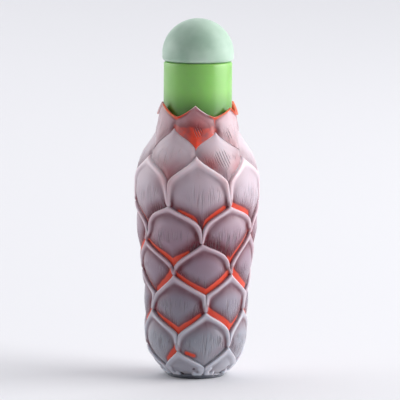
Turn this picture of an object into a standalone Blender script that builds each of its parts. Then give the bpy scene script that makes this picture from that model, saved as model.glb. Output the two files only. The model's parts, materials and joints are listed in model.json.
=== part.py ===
"""A carved overlay glass snuff bottle in the form of a bud wrapped in pointed petals, with a domed stopper.

Units are metres and +Z is up. The origin is the centre of the foot, on the surface the bottle stands on.
Azimuth is measured in degrees from the front (-Y) towards the right (+X).
"""

from math import cos, pi, sin

import bmesh
import bpy
import numpy as np

# The bud: the green bottle's coat of petals, from the foot to the tips of the collar.
BODY_HEIGHT = 0.0613
FOOT_RADIUS = 0.0063
LOWER_RADIUS = 0.01175
BELLY_RADIUS = 0.0141
COLLAR_WALL = 0.00165
COLLAR_CHAMFER = 0.0002

# The neck, the mouth and the hollow.
NECK_RADIUS = 0.0076
NECK_RISE = 0.0091
LIP_ROUND = 0.0007
MOUTH_RADIUS = 0.00375
BORE_LENGTH = 0.0125
WALL = 0.0026
FLOOR = 0.0045
CHAMBER_SHOULDER = 0.0128
CHAMBER_ROUND = 0.0075

# The stopper: a dome that sits on the lip, with a plug that goes into the mouth.
DOME_OVERHANG = 0.00035
DOME_RISE = 0.0078
SKIRT_HEIGHT = 0.0015
SKIRT_ROUND = 0.0007
PLUG_LENGTH = 0.006
PLUG_CHAMFER = 0.0003
PLUG_CLEARANCE = 0.0003
SEAT_GAP = 0.0003

# The carving.
CARVING_DEPTH = 0.00105
RIM_WIDTH = 0.00105
RIM_RISE = 0.0005
PLAIN_EDGE = 0.0003
PILLOW_RISE = 0.00038
PILLOW_FROM_RIM = 0.0022
PILLOW_FROM_CUT = 0.003
LEDGE_WIDTH = 0.0011
CUT_SLOPE = 0.00012
FOOT_STEP = 0.0004
FOOT_LINE = 0.001
FOOT_EDGE = 0.0003

# Where the silhouette changes, as shares of the body's height.
LOWER_FROM, LOWER_TO = 0.212, 0.228
BELLY_FROM, BELLY_TO = 0.69, 0.72
COLLAR_FROM = 0.946
HEEL_POWER = 3.2

# Rows of petals from the collar down: height of the tips and of the points where neighbours meet, as shares
# of the body's height, the turn of the row in degrees, 1 where the petals have a raised rim, and how much of
# an edge's drop is the hollow curve that runs to the tip. The rest of the drop is a round shoulder.
ROWS = (
    (1.000, 0.958, -3.3, 0, 0.4),
    (0.909, 0.838, -4.7, 0, 0.68),
    (0.818, 0.724, -3.2, 1, 0.78),
    (0.645, 0.546, 2.5, 1, 0.6),
    (0.511, 0.414, 2.8, 1, 0.76),
    (0.399, 0.320, 7.2, 1, 1.0),
    (0.259, 0.170, 6.2, 1, 0.83),
    (0.122, 0.050, 9.5, 1, 0.95),
)
PETALS = 6
# The petals lean: below the collar, neighbours meet a little past the middle between their tips, in degrees.
LEAN = 3.0

# Petals cut away from their row's even spacing: (row, petal) to degrees round and share of height up.
HAND_CUT = {
    (0, 1): (-1.4, -0.011),
    (0, 5): (1.0, 0.008),
    (1, 0): (1.4, -0.006),
    (1, 5): (-1.5, 0.006),
    (2, 0): (2.2, 0.005),
    (4, 0): (2.4, 0.0),
    (4, 5): (-3.4, 0.003),
    (4, 1): (1.0, 0.030),
    (5, 5): (-2.0, -0.004),
    (5, 0): (3.0, -0.002),
    (6, 0): (4.6, 0.0),
    (6, 5): (-5.6, 0.0),
    (7, 5): (-1.3, -0.006),
    (7, 0): (1.3, 0.006),
}

# Edges cut rounder than their row, or straighter: (row, half petal) to that share of the hollow curve. The
# powers of the hollow curve and of the round shoulder are the same everywhere.
EDGE_CUT = {
    (1, 1): 1.0,
    (2, 10): 0.6,
    (3, 10): 0.4,
    (3, 1): 0.45,
    (4, 0): 0.5,
    (6, 0): 0.65,
    (6, 11): 0.9,
}
HOLLOW_POWER, SHOULDER_POWER = 0.8, 5

# The collar's cut edge leans in. Its height on the collar's wall, and the depth of the groove behind it, as
# shares of that wall at the valleys, and how much of the wall each gains towards the tips.
EDGE_STAND, EDGE_STAND_GAIN = 0.35, 0.3
GROOVE, GROOVE_GAIN = 0.3, 0.75

# Where the columns of points stand between a tip (0) and the point where two petals meet (1).
COLUMN_STEPS = (0.0, 0.1, 0.32, 0.68, 0.9)
# Where rings of points stand on a petal: the rim's crest and inner foot in rim widths, then on the field.
RIM_CREST, RIM_FOOT = 0.45, 1.1
FIELD_STEPS = (0.0, 0.42, 0.76)
MOST_OF_ROOM = (0.25, 0.45, 0.1)
MOST_SLANT = 2.0
SLANT_REACH = 0.04
FINE_STEPS = 24
ROUND_STEPS = 3
DOME_STEPS = 9
CHAMBER_STEPS = 16
STOPPER_SIDES = 40
HOLLOW_SIDES = 30
MERGE = 1e-5

PITCH = 360 / PETALS
LAST_ROW = len(ROWS) - 1
COLLAR_RADIUS = NECK_RADIUS + COLLAR_WALL
DOME_RADIUS = NECK_RADIUS + DOME_OVERHANG
LIP_HEIGHT = BODY_HEIGHT + NECK_RISE


def smooth(t):
    """A soft step from 0 to 1."""
    t = np.clip(t, 0.0, 1.0)
    return t * t * (3 - 2 * t)


def body_radius(height):
    """Radius over the crests of the carving at a height: heel, lower body, belly and shoulder."""
    share = np.asarray(height, float) / BODY_HEIGHT
    heel = 1 - np.clip(1 - share / LOWER_FROM, 0.0, 1.0) ** HEEL_POWER
    radius = FOOT_RADIUS + (LOWER_RADIUS - FOOT_RADIUS) * heel
    radius += (BELLY_RADIUS - LOWER_RADIUS) * smooth((share - LOWER_TO) / (BELLY_FROM - LOWER_TO))
    shoulder = smooth((share - BELLY_TO) / (COLLAR_FROM - BELLY_TO))
    return radius + (COLLAR_RADIUS - BELLY_RADIUS) * shoulder


def turned(name, profile, sides):
    """A solid turned round Z from (radius, height) points that run down its outer side."""
    mesh = bpy.data.meshes.new(name)
    points = [(radius, 0.0, height) for radius, height in profile]
    mesh.from_pydata(points, [(i, i + 1) for i in range(len(points) - 1)], [])
    made = bpy.data.objects.new(name, mesh)
    screw = made.modifiers.new("Turn", "SCREW")
    screw.steps = screw.render_steps = sides
    screw.use_merge_vertices = True
    screw.merge_threshold = MERGE
    return made


def material(name, colour, roughness):
    """Satin glass in one colour."""
    made = bpy.data.materials.new(name)
    made.use_nodes = True
    shader = made.node_tree.nodes["Principled BSDF"]
    shader.inputs["Base Color"].default_value = (*colour, 1.0)
    shader.inputs["Roughness"].default_value = roughness
    shader.inputs["Metallic"].default_value = 0.0
    return made


def petal_nodes(row):
    """Azimuth and height of a row's tips and meeting points in turn, once round from near azimuth 0."""
    tip_share, meet_share, turn = ROWS[row][:3]
    odd = row % 2
    tips = turn + PITCH * (np.arange(PETALS) + odd / 2)
    heights = np.full(PETALS, tip_share * BODY_HEIGHT)
    for (of_row, petal), (degrees, share) in HAND_CUT.items():
        if of_row == row:
            tips[petal] += degrees
            heights[petal] += share * BODY_HEIGHT
    meets = (tips + np.append(tips[1:], tips[0] + 360)) / 2 + (LEAN if row else 0.0)
    low = np.full(PETALS, meet_share * BODY_HEIGHT)
    azimuths = np.column_stack([tips, meets]).ravel()
    tops = np.column_stack([heights, low]).ravel()
    if odd:
        azimuths = np.concatenate([[azimuths[-1] - 360], azimuths[:-1]])
        tops = np.roll(tops, 1)
    return np.append(azimuths, azimuths[0] + 360), np.append(tops, tops[0])


def outline(row, along):
    """Azimuth and height of the upper edge of a row's petals. along counts half petals round the bottle."""
    azimuths, heights = petal_nodes(row)
    laps = np.floor_divide(along, 2 * PETALS)
    along = along - 2 * PETALS * laps
    half = np.floor(along).astype(int)
    part = along - half
    from_tip = (half + row) % 2 == 0
    x = np.where(from_tip, part, 1 - part)
    tip = np.where(from_tip, heights[half], heights[half + 1])
    meet = np.where(from_tip, heights[half + 1], heights[half])
    shares = np.full(2 * PETALS, ROWS[row][4])
    for (of_row, edge), cut in EDGE_CUT.items():
        if of_row == row:
            shares[edge] = cut
    share = shares[half]
    shoulder = 1 - np.sqrt(np.maximum(1 - x**SHOULDER_POWER, 0.0))
    if row == 0:
        # The collar's edge runs into round valleys instead.
        shoulder = np.sin(pi / 2 * x)
    drop = share * x**HOLLOW_POWER + (1 - share) * shoulder
    azimuth = azimuths[half] + (azimuths[half + 1] - azimuths[half]) * part
    return azimuth + 360 * laps, tip + (meet - tip) * drop


def slant(row, along):
    """How much longer the outline is than its run round the bottle, on the steeper side of each column."""
    azimuth, height = outline(row, along)
    slopes = []
    for reach in (-SLANT_REACH, SLANT_REACH):
        azimuth_beside, height_beside = outline(row, along + reach)
        run = np.radians(azimuth_beside - azimuth) * body_radius(height)
        slopes.append(np.abs((height_beside - height) / run))
    return np.hypot(1.0, np.maximum(*slopes))


def foot_line(along):
    """Azimuth and height of the petals' lower ends, which stand a little above the foot."""
    azimuth, _ = outline(LAST_ROW, along)
    return azimuth, np.full(len(along), FOOT_LINE)


def lower_line(row, along):
    """Azimuth and height of what bounds a row's petals below: the next row's outline, or the foot line."""
    return foot_line(along) if row == LAST_ROW else outline(row + 1, along)


def distance_to(azimuth, height, chains):
    """Shortest distance over the surface from each point to the chains of (azimuth, height) points."""
    radius = body_radius(height)
    nearest = np.full(height.shape, np.inf)
    for chain_azimuth, chain_height in chains:
        for i in range(len(chain_azimuth) - 1):
            turned_by = (chain_azimuth[i] - azimuth + 180) % 360 - 180
            ax = np.radians(turned_by) * radius
            az = chain_height[i] - height
            dx = np.radians(chain_azimuth[i + 1] - chain_azimuth[i]) * radius
            dz = chain_height[i + 1] - chain_height[i]
            t = np.clip(-(ax * dx + az * dz) / (dx * dx + dz * dz + 1e-18), 0.0, 1.0)
            nearest = np.minimum(nearest, np.hypot(ax + t * dx, az + t * dz))
    return nearest


def seams(row):
    """The grooves between neighbours, from where two petals meet down to the tip or foot below."""
    azimuths, heights = petal_nodes(row)
    if row == LAST_ROW:
        below_azimuths, below = azimuths, np.full(len(azimuths), FOOT_LINE)
    else:
        below_azimuths, below = petal_nodes(row + 1)
    meets = [i for i in range(2 * PETALS) if (i + row) % 2]
    return [((azimuths[i], below_azimuths[i]), (heights[i], below[i])) for i in meets]


def ledge(above):
    """The slope down to the cut above the next row's rims."""
    return (CARVING_DEPTH - RIM_RISE) * (1 - np.clip(above / LEDGE_WIDTH, 0.0, 1.0))


def relief(row, azimuth, height):
    """How far the carved surface lies from the crests: rim, pillowed field and the ledge below it."""
    fine = np.linspace(0, 2 * PETALS, FINE_STEPS * PETALS + 1)
    inside = distance_to(azimuth, height, [outline(row, fine), *seams(row)])
    above = distance_to(azimuth, height, [lower_line(row, fine)])
    pillow = PILLOW_RISE * smooth((inside - RIM_WIDTH) / PILLOW_FROM_RIM) * smooth(above / PILLOW_FROM_CUT)
    if not ROWS[row][3]:
        # The two top rows have no bead, only an edge that thins towards the outline.
        return pillow - RIM_RISE + PLAIN_EDGE * smooth(inside / RIM_WIDTH) - ledge(above)
    across = np.clip(inside / RIM_WIDTH, 0.0, 1.0)
    bead = np.sqrt(np.maximum(1 - (2 * across - 1) ** 2, 0.0))
    field = pillow - RIM_RISE - (0.0 if row == LAST_ROW else ledge(above))
    return field * (1 - bead)


def coat_rings(along):
    """Rings of (azimuth, height, radius) over the petals, from the collar's edge down to the foot line."""
    most_crest, most_foot, most_cut = MOST_OF_ROOM
    rings = []
    for row in range(len(ROWS)):
        azimuth, top = outline(row, along)
        low_azimuth, bottom = lower_line(row, along)
        room = top - bottom
        rim = RIM_WIDTH * np.minimum(slant(row, along), MOST_SLANT)
        foot = np.minimum(RIM_FOOT * rim, most_foot * room)
        drops = [np.zeros(len(along)), np.minimum(RIM_CREST * rim, most_crest * room)]
        drops += [foot + step * (room - foot) for step in FIELD_STEPS]
        drops.append(room - np.minimum(CUT_SLOPE, most_cut * room))
        for drop in drops:
            here = azimuth + (low_azimuth - azimuth) * drop / room
            height = top - drop
            rings.append((here, height, body_radius(height) + relief(row, here, height)))
    # The collar's cut edge is chamfered, so its outer ring sits a little below the outline.
    azimuth, top, _ = rings[0]
    edge = top - COLLAR_CHAMFER
    rings[0] = (azimuth, edge, body_radius(edge) - COLLAR_CHAMFER)
    return rings


def collar_rings(along):
    """Rings up from the collar's cut edge to the neck's lip, listed from the lip down."""
    azimuth, top = outline(0, along)
    half = np.floor(along).astype(int)
    part = along - half
    towards_tip = np.where(half % 2 == 0, 1 - part, part)
    stand = COLLAR_WALL * (EDGE_STAND + EDGE_STAND_GAIN * towards_tip)
    groove = COLLAR_WALL * (GROOVE + GROOVE_GAIN * towards_tip)
    level = np.ones(len(along))
    rings = []
    for step in range(ROUND_STEPS + 1):
        turn = pi / 2 * (1 - step / ROUND_STEPS)
        height = LIP_HEIGHT - LIP_ROUND * (1 - sin(turn))
        rings.append((azimuth, level * height, level * (NECK_RADIUS - LIP_ROUND * (1 - cos(turn)))))
    rings.append((azimuth, level * (BODY_HEIGHT + NECK_RISE / 6), level * NECK_RADIUS))
    rings.append((azimuth, top - groove, level * (NECK_RADIUS + CUT_SLOPE)))
    rings.append((azimuth, top, NECK_RADIUS + stand))
    return rings


def foot_rings(along):
    """Rings from under the petals' lower ends down to the flat foot."""
    azimuth, low = foot_line(along)
    level = np.ones(len(along))
    under = (azimuth, low - CUT_SLOPE, body_radius(low) - FOOT_STEP)
    heel = (azimuth, level * FOOT_EDGE, level * (FOOT_RADIUS + FOOT_EDGE / 2))
    flat = (azimuth, np.zeros(len(along)), level * FOOT_RADIUS)
    return [under, heel, flat]


def bottle_jacket(name):
    """The bottle's outside as one closed mesh: a grid wrapped round the axis, its rings on petals' edges."""
    along = [half + step for half in range(2 * PETALS) for step in COLUMN_STEPS]
    along = np.array(along + [2 * PETALS], float)
    rings = collar_rings(along) + coat_rings(along) + foot_rings(along)
    bm = bmesh.new()
    bmesh.ops.create_grid(bm, x_segments=len(along) - 1, y_segments=len(rings) - 1, size=1.0)
    bm.verts.ensure_lookup_table()
    for y, (azimuth, height, radius) in enumerate(rings):
        angle = np.radians(azimuth)
        for x in range(len(along)):
            vertex = bm.verts[y * len(along) + x]
            vertex.co = (radius[x] * sin(angle[x]), -radius[x] * cos(angle[x]), height[x])
    bmesh.ops.remove_doubles(bm, verts=bm.verts, dist=MERGE)
    ends = [edge for edge in bm.edges if edge.is_boundary]
    bmesh.ops.holes_fill(bm, edges=ends, sides=len(along))
    bmesh.ops.recalc_face_normals(bm, faces=bm.faces)
    mesh = bpy.data.meshes.new(name)
    bm.to_mesh(mesh)
    bm.free()
    mesh.shade_smooth()
    return bpy.data.objects.new(name, mesh)


def cavity(name):
    """The cutter for the hollow: the mouth's bore, then a chamber that follows the wall's thickness."""
    bore_end = LIP_HEIGHT - BORE_LENGTH
    above_lip = LIP_HEIGHT + LIP_ROUND
    profile = [(0.0, above_lip), (MOUTH_RADIUS, above_lip), (MOUTH_RADIUS, bore_end)]
    for i in range(1, CHAMBER_STEPS):
        # Points lie closer together at both ends, where the chamber turns in.
        height = FLOOR + (bore_end - FLOOR) * (1 + cos(pi * i / CHAMBER_STEPS)) / 2
        room = body_radius(height) - CARVING_DEPTH - WALL
        widened = smooth((bore_end - height) / CHAMBER_SHOULDER)
        rounded = (1 - (1 - min((height - FLOOR) / CHAMBER_ROUND, 1.0)) ** 2) ** 0.5
        profile.append((float((MOUTH_RADIUS + (room - MOUTH_RADIUS) * widened) * rounded), height))
    profile.append((0.0, FLOOR))
    return turned(name, profile, HOLLOW_SIDES)


def stopper(name):
    """The dome, its rounded skirt, the flat seat and the plug, as one turned solid."""
    seat = LIP_HEIGHT + SEAT_GAP
    spring = seat + SKIRT_HEIGHT
    profile = []
    for i in range(DOME_STEPS + 1):
        turn = pi / 2 * (1 - i / DOME_STEPS)
        profile.append((DOME_RADIUS * cos(turn) if i else 0.0, spring + DOME_RISE * sin(turn)))
    for i in range(ROUND_STEPS + 1):
        turn = pi / 2 * i / ROUND_STEPS
        profile.append((DOME_RADIUS - SKIRT_ROUND * (1 - cos(turn)), seat + SKIRT_ROUND * (1 - sin(turn))))
    plug = MOUTH_RADIUS - PLUG_CLEARANCE
    profile.append((plug, seat))
    profile.append((plug, seat - PLUG_LENGTH + PLUG_CHAMFER))
    profile.append((plug - PLUG_CHAMFER, seat - PLUG_LENGTH))
    profile.append((0.0, seat - PLUG_LENGTH))
    return turned(name, profile, STOPPER_SIDES)


def collection(name):
    """A new collection in the scene."""
    made = bpy.data.collections.new(name)
    bpy.context.scene.collection.children.link(made)
    return made


def main():
    """Models the bottle, cuts its hollow and sets the stopper on it."""
    for thing in list(bpy.data.objects):
        bpy.data.objects.remove(thing)
    parts = collection("Snuff bottle")
    cutters = collection("Cutters")

    bottle = bottle_jacket("bottle")
    bottle.data.materials.append(material("Overlay glass", (0.46, 0.36, 0.40), 0.5))
    parts.objects.link(bottle)

    hollow = cavity("hollow")
    hollow.hide_render = True
    hollow.display_type = "WIRE"
    cutters.objects.link(hollow)

    cut = bottle.modifiers.new("Hollow", "BOOLEAN")
    cut.operation = "DIFFERENCE"
    cut.object = hollow

    top = stopper("stopper")
    top.data.materials.append(material("Pale green glass", (0.36, 0.56, 0.45), 0.35))
    parts.objects.link(top)


main()
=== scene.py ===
# %% [markdown]
# # A carved overlay glass snuff bottle
# The bottle is blown in three layers of glass: a lime green core, a thin orange red layer and a thick
# mauve grey coat. A carver cuts the coat into rows of pointed petals, deep enough along their lower
# edges to bring out the red, and leaves the green bare at the neck. A celadon dome closes the mouth.
# The packed model is loaded first, and its boxes give the height of the lip and the size of the dome.

# %% The packed model
import json
import random
from math import cos, pi, radians, sin

import bpy
import numpy as np
from mathutils import Matrix, Vector

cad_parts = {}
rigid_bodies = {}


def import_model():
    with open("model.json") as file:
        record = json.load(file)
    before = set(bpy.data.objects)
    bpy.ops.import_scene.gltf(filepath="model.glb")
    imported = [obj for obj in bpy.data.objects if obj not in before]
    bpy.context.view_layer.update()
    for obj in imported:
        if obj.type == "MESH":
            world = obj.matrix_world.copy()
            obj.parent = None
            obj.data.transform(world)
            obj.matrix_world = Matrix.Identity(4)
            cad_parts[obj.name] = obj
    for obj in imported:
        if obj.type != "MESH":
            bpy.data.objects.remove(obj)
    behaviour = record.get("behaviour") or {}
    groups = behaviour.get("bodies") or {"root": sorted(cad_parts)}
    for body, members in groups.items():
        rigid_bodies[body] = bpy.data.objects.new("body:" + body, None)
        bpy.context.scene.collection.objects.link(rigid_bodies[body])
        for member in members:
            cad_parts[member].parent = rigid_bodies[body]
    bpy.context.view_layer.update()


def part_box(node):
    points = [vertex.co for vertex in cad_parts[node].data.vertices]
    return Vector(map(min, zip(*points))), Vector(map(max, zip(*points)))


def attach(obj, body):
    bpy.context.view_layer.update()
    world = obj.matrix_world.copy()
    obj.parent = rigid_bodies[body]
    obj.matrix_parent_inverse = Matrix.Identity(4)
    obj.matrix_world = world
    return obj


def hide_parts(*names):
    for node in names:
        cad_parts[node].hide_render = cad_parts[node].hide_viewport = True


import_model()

_, lip_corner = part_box("bottle")
_, dome_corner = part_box("stopper")
LIP_HEIGHT = float(lip_corner[2])
DOME_TOP = float(dome_corner[2])
print("lip at", round(LIP_HEIGHT, 5), "top of the dome at", round(DOME_TOP, 5))

# %% [markdown]
# ## Camera
# The photograph is taken with a long lens from a little above the bottle, so its upright lines stay
# parallel. The place and the lens were found by laying the model's outline over the picture, and the
# small roll stands for a camera that wasn't quite level.

# %% Camera
CAMERA_PLACE = Vector((0.00067, -0.750, 0.129))
CAMERA_TARGET = Vector((0.00067, 0.0, 0.0394))
CAMERA_ROLL = radians(0.43)

camera_data = bpy.data.cameras.new("Camera")
camera_data.lens = 304.6
camera_data.sensor_width = 36.0
camera_data.clip_start = 0.01
camera = bpy.data.objects.new("Camera", camera_data)
bpy.context.scene.collection.objects.link(camera)
looking = (CAMERA_TARGET - CAMERA_PLACE).to_track_quat("-Z", "Y").to_matrix().to_4x4()
camera.matrix_world = Matrix.Translation(CAMERA_PLACE) @ looking @ Matrix.Rotation(CAMERA_ROLL, 4, "Z")
bpy.context.scene.camera = camera
bpy.context.scene.view_settings.view_transform = "Standard"
print("camera looks down", round((CAMERA_PLACE.z - CAMERA_TARGET.z) / 0.75, 3), "for each metre")

# %% [markdown]
# ## The bud's outline
# The body is turned before it is carved: a narrow heel, a lower body that widens up to the belly and a
# shoulder that closes on the neck. One function gives the radius over the crests of the carving at any
# height, so every petal below can be laid on it.

# %% The bud's outline
BODY_HEIGHT = 0.0613
FOOT_RADIUS = 0.0063
LOWER_RADIUS = 0.01175
BELLY_RADIUS = 0.0141
NECK_RADIUS = 0.0076
COLLAR_WALL = 0.00165
COLLAR_RADIUS = NECK_RADIUS + COLLAR_WALL
LOWER_FROM, LOWER_TO = 0.212, 0.228
BELLY_FROM, BELLY_TO = 0.69, 0.72
COLLAR_FROM = 0.946
HEEL_POWER = 3.2


def smooth(t):
    """A soft step from 0 to 1."""
    t = np.clip(t, 0.0, 1.0)
    return t * t * (3 - 2 * t)


def body_radius(height):
    """Radius over the crests of the carving at a height."""
    share = np.asarray(height, float) / BODY_HEIGHT
    heel = 1 - np.clip(1 - share / LOWER_FROM, 0.0, 1.0) ** HEEL_POWER
    radius = FOOT_RADIUS + (LOWER_RADIUS - FOOT_RADIUS) * heel
    radius += (BELLY_RADIUS - LOWER_RADIUS) * smooth((share - LOWER_TO) / (BELLY_FROM - LOWER_TO))
    shoulder = smooth((share - BELLY_TO) / (COLLAR_FROM - BELLY_TO))
    return radius + (COLLAR_RADIUS - BELLY_RADIUS) * shoulder


for share in (0.0, 0.25, 0.7, 1.0):
    print("radius at", share, "of the body:", round(float(body_radius(share * BODY_HEIGHT)) * 1000, 2), "mm")

# %% [markdown]
# ## Rows of petals
# The carver first scratches a net of lines: eight staggered rows of six petals. A row is given by the
# height of its tips and of the points where neighbours meet, by a small turn and by how wide its rims
# are. A few petals sit off their even spacing, as on any hand-cut piece. Between a tip and a meeting
# point the edge is a hollow curve that ends in a round shoulder, and each row has its own share of the
# two. Only the collar's edge runs into round valleys instead.

# %% Rows of petals
# Heights of tips and meeting points as shares of the body, turn in degrees, width of the rims against
# RIM_WIDTH (0 for none), and the hollow curve's share of an edge.
ROWS = (
    (1.000, 0.958, -3.3, 0, 0.4),
    (0.909, 0.838, -4.7, 0, 0.68),
    (0.818, 0.724, -3.2, 1.05, 0.78),
    (0.645, 0.546, 2.5, 0.84, 0.6),
    (0.511, 0.414, 2.8, 0.82, 0.76),
    (0.399, 0.320, 7.2, 0.94, 1.0),
    (0.259, 0.170, 6.2, 0.94, 0.83),
    (0.122, 0.050, 9.5, 0.9, 0.95),
)
PETALS = 6
PITCH = 360 / PETALS
LAST_ROW = len(ROWS) - 1
LEAN = 3.0
# (row, petal): turned by these degrees and raised by this share of the body.
HAND_CUT = {
    (0, 1): (-1.4, -0.011),
    (0, 5): (1.0, 0.008),
    (1, 0): (1.4, -0.006),
    (1, 5): (-1.5, 0.006),
    (2, 0): (2.2, 0.005),
    (4, 0): (2.4, 0.0),
    (4, 5): (-3.4, 0.003),
    (4, 1): (1.0, 0.030),
    (5, 5): (-2.0, -0.004),
    (5, 0): (3.0, -0.002),
    (6, 0): (4.6, 0.0),
    (6, 5): (-5.6, 0.0),
    (7, 5): (-1.3, -0.006),
    (7, 0): (1.3, 0.006),
}
# (row, half petal): the edges that have their own share of the hollow curve.
EDGE_CUT = {
    (1, 1): 1.0,
    (2, 10): 0.6,
    (3, 10): 0.4,
    (3, 1): 0.45,
    (4, 0): 0.5,
    (6, 0): 0.65,
    (6, 11): 0.9,
}
HOLLOW_POWER, SHOULDER_POWER = 0.8, 5
FOOT_LINE = 0.001


def petal_nodes(row):
    """Azimuth and height of a row's tips and meeting points in turn, once round from near azimuth 0."""
    tip_share, meet_share, turn = ROWS[row][:3]
    odd = row % 2
    tips = turn + PITCH * (np.arange(PETALS) + odd / 2)
    heights = np.full(PETALS, tip_share * BODY_HEIGHT)
    for (of_row, petal), (degrees, share) in HAND_CUT.items():
        if of_row == row:
            tips[petal] += degrees
            heights[petal] += share * BODY_HEIGHT
    meets = (tips + np.append(tips[1:], tips[0] + 360)) / 2 + (LEAN if row else 0.0)
    low = np.full(PETALS, meet_share * BODY_HEIGHT)
    azimuths = np.column_stack([tips, meets]).ravel()
    tops = np.column_stack([heights, low]).ravel()
    if odd:
        azimuths = np.concatenate([[azimuths[-1] - 360], azimuths[:-1]])
        tops = np.roll(tops, 1)
    return np.append(azimuths, azimuths[0] + 360), np.append(tops, tops[0])


def outline(row, along):
    """Azimuth and height of the upper edge of a row's petals. along counts half petals round the bottle."""
    azimuths, heights = petal_nodes(row)
    laps = np.floor_divide(along, 2 * PETALS)
    along = along - 2 * PETALS * laps
    half = np.floor(along).astype(int)
    part = along - half
    from_tip = (half + row) % 2 == 0
    x = np.where(from_tip, part, 1 - part)
    tip = np.where(from_tip, heights[half], heights[half + 1])
    meet = np.where(from_tip, heights[half + 1], heights[half])
    shares = np.full(2 * PETALS, ROWS[row][4])
    for (of_row, edge), cut in EDGE_CUT.items():
        if of_row == row:
            shares[edge] = cut
    share = shares[half]
    shoulder = 1 - np.sqrt(np.maximum(1 - x**SHOULDER_POWER, 0.0))
    if row == 0:
        shoulder = np.sin(pi / 2 * x)
    drop = share * x**HOLLOW_POWER + (1 - share) * shoulder
    azimuth = azimuths[half] + (azimuths[half + 1] - azimuths[half]) * part
    return azimuth + 360 * laps, tip + (meet - tip) * drop


def lower_line(row, along):
    """What bounds a row's petals below: the next row's outline, or the line just above the foot."""
    if row == LAST_ROW:
        azimuth, _ = outline(LAST_ROW, along)
        return azimuth, np.full(np.shape(along), FOOT_LINE)
    return outline(row + 1, along)


def seams(row):
    """The grooves between neighbours, from where two petals meet down to the tip or foot below."""
    azimuths, heights = petal_nodes(row)
    if row == LAST_ROW:
        below_azimuths, below = azimuths, np.full(len(azimuths), FOOT_LINE)
    else:
        below_azimuths, below = petal_nodes(row + 1)
    meets = [i for i in range(2 * PETALS) if (i + row) % 2]
    return [((azimuths[i], below_azimuths[i]), (heights[i], below[i])) for i in meets]


print("petals:", PETALS * len(ROWS), "tips of the front row at", petal_nodes(2)[0][::2].round(1))

# %% [markdown]
# ## Distances on the surface
# All of the carving follows lines: a rim runs along an edge at the same width, a facet is cut along the
# row below. So the relief is worked out from distances to those lines, measured over the surface. A
# sculptor in Blender would reach for brushes, but distances keep every rim equally wide and crisp.

# %% Distances on the surface
LINE_STEPS = 22
TINY = 5e-6


def dense_ends(steps):
    """Shares from 0 up to 1 that lie closer together near both ends."""
    t = np.linspace(0, 1, steps, endpoint=False)
    return (t + (1 - np.cos(pi * t)) / 2) / 2


def round_bottle(shares):
    """The same shares on every half petal, once round the bottle."""
    return (np.arange(2 * PETALS)[:, None] + shares[None, :]).ravel()


FINE = np.append(round_bottle(dense_ends(LINE_STEPS)), 2 * PETALS)


def pieces(azimuth, height, chains):
    """Each straight piece of the chains, as seen from the points: its start, and its run and rise."""
    radius = body_radius(height)
    for chain_azimuth, chain_height in chains:
        for i in range(len(chain_azimuth) - 1):
            turned_by = (chain_azimuth[i] - azimuth + 180) % 360 - 180
            run = np.radians(chain_azimuth[i + 1] - chain_azimuth[i]) * radius
            rise = chain_height[i + 1] - chain_height[i]
            yield np.radians(turned_by) * radius, chain_height[i] - height, run, rise


def distance_to(azimuth, height, chains):
    """Shortest distance over the surface from each point to the chains of (azimuth, height) points."""
    nearest = np.full(height.shape, np.inf)
    for across, up, run, rise in pieces(azimuth, height, chains):
        part = np.clip(-(across * run + up * rise) / (run * run + rise * rise + TINY**2), 0.0, 1.0)
        nearest = np.minimum(nearest, np.hypot(across + part * run, up + part * rise))
    return nearest


def rounded_distance(azimuth, height, chains):
    """Distance that counts every piece of a line a little, so that it turns round inside a corner."""
    pull = np.zeros(height.shape)
    for across, up, run, rise in pieces(azimuth, height, chains):
        length = np.hypot(run, rise) + TINY
        start = (across * run + up * rise) / length
        end = start + length
        square = np.maximum(across**2 + up**2 - start**2, TINY**2)
        pull += (end / np.sqrt(square + end**2) - start / np.sqrt(square + start**2)) / square
    return np.sqrt(2 / pull)


halfway = np.array([0.5 * BODY_HEIGHT])
to_seam = distance_to(0 * halfway, halfway, seams(3))
print("from the middle of the front to the nearest seam:", (to_seam * 1000).round(2), "mm")

# %% [markdown]
# ## Where the red layer shows
# The red comes up only where the carver went deepest, in slanting facets just above the rims of the row
# below. Each facet is given by where it starts and ends along that row's edge, counted in half petals
# from the front, and by its width at both ends. One short dash near the foot stands alone. On the hidden
# side the facets are drawn by a seeded random choice, with the same widths.

# %% Where the red layer shows
FAR = 0.01
# Each facet: where it starts, its width there, where it ends, its width there.
RED_FACETS = {
    0: ((-0.95, 0.0009, 0.0, 0.0030), (0.0, 0.0030, 0.85, 0.0014)),
    2: ((-0.62, 0.0007, -0.26, 0.0009), (0.14, 0.0008, 0.70, 0.0011), (1.12, 0.0011, 1.75, 0.0010),
        (-2.9, 0.0004, -2.0, 0.0004)),
    3: ((-1.84, 0.0008, -1.03, 0.0013), (-0.97, 0.0013, -0.50, 0.0006), (1.02, 0.0008, 1.85, 0.0007)),
    4: ((-2.9, 0.0004, -2.1, 0.0003), (-1.88, 0.0009, -1.10, 0.0014), (-0.90, 0.0009, -0.02, 0.0012),
        (0.02, 0.0012, 0.90, 0.0015), (1.10, 0.0013, 1.92, 0.0012)),
    5: ((-1.74, 0.0007, -1.02, 0.0013), (-0.98, 0.0012, -0.26, 0.0008), (0.14, 0.0013, 0.98, 0.0013),
        (1.02, 0.0010, 1.60, 0.0005)),
    6: ((-1.66, 0.0008, -1.15, 0.0013), (-2.95, 0.0004, -2.65, 0.0004)),
}
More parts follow.
